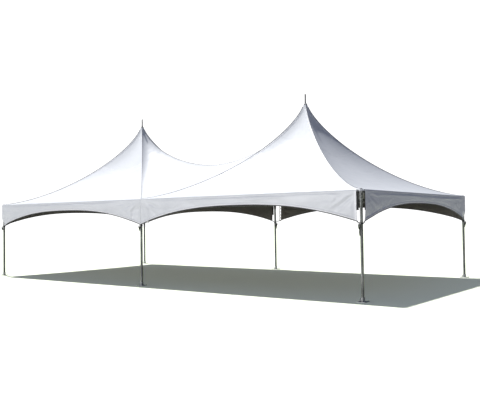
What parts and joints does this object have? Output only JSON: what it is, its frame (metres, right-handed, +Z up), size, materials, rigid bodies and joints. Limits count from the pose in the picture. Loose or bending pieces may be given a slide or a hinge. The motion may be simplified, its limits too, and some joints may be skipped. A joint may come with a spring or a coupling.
{
  "type": "marquee tent",
  "caption": "Long open-sided marquee with two swept peaks over masts, upright tube legs, eave beams and arched valances.",
  "frame": {"origin": "on the ground under the middle of the tent, at the centre of the base plates' footprint", "axes": "+X along the long side towards the picture's near corner, -Y the long front side seen in the picture, +Z up"},
  "size_m": [12.392, 6.296, 4.92],
  "materials": {
    "canvas": "white coated vinyl fabric, semi-matt",
    "tube": "mill-finish aluminium tube",
    "fitting": "cast aluminium, slightly dull",
    "plate": "galvanised steel",
    "cable": "galvanised wire rope"
  },
  "bodies": {
    "root": {"leg_front_left": "tube", "base_front_left": "plate", "fitting_front_left": "fitting", "leg_front_middle": "tube", "base_front_middle": "plate", "fitting_front_middle": "fitting", "leg_front_right": "tube", "base_front_right": "plate", "fitting_front_right": "fitting", "beam_front_left": "tube", "beam_front_right": "tube", "leg_back_left": "tube", "base_back_left": "plate", "fitting_back_left": "fitting", "leg_back_middle": "tube", "base_back_middle": "plate", "fitting_back_middle": "fitting", "leg_back_right": "tube", "base_back_right": "plate", "fitting_back_right": "fitting", "beam_back_left": "tube", "beam_back_right": "tube", "beam_end_left": "tube", "beam_end_right": "tube", "mast_left": "tube", "collar_left": "fitting", "canopy_left": "canvas", "cable_left_front_left": "cable", "cable_left_front_middle": "cable", "cable_left_back_left": "cable", "cable_left_back_middle": "cable", "mast_right": "tube", "collar_right": "fitting", "canopy_right": "canvas", "cable_right_front_right": "cable", "cable_right_front_middle": "cable", "cable_right_back_right": "cable", "cable_right_back_middle": "cable", "valance_front_left": "canvas", "valance_front_right": "canvas", "valance_back_left": "canvas", "valance_back_right": "canvas", "valance_end_left": "canvas", "valance_end_right": "canvas"}
  },
  "joints": []
}
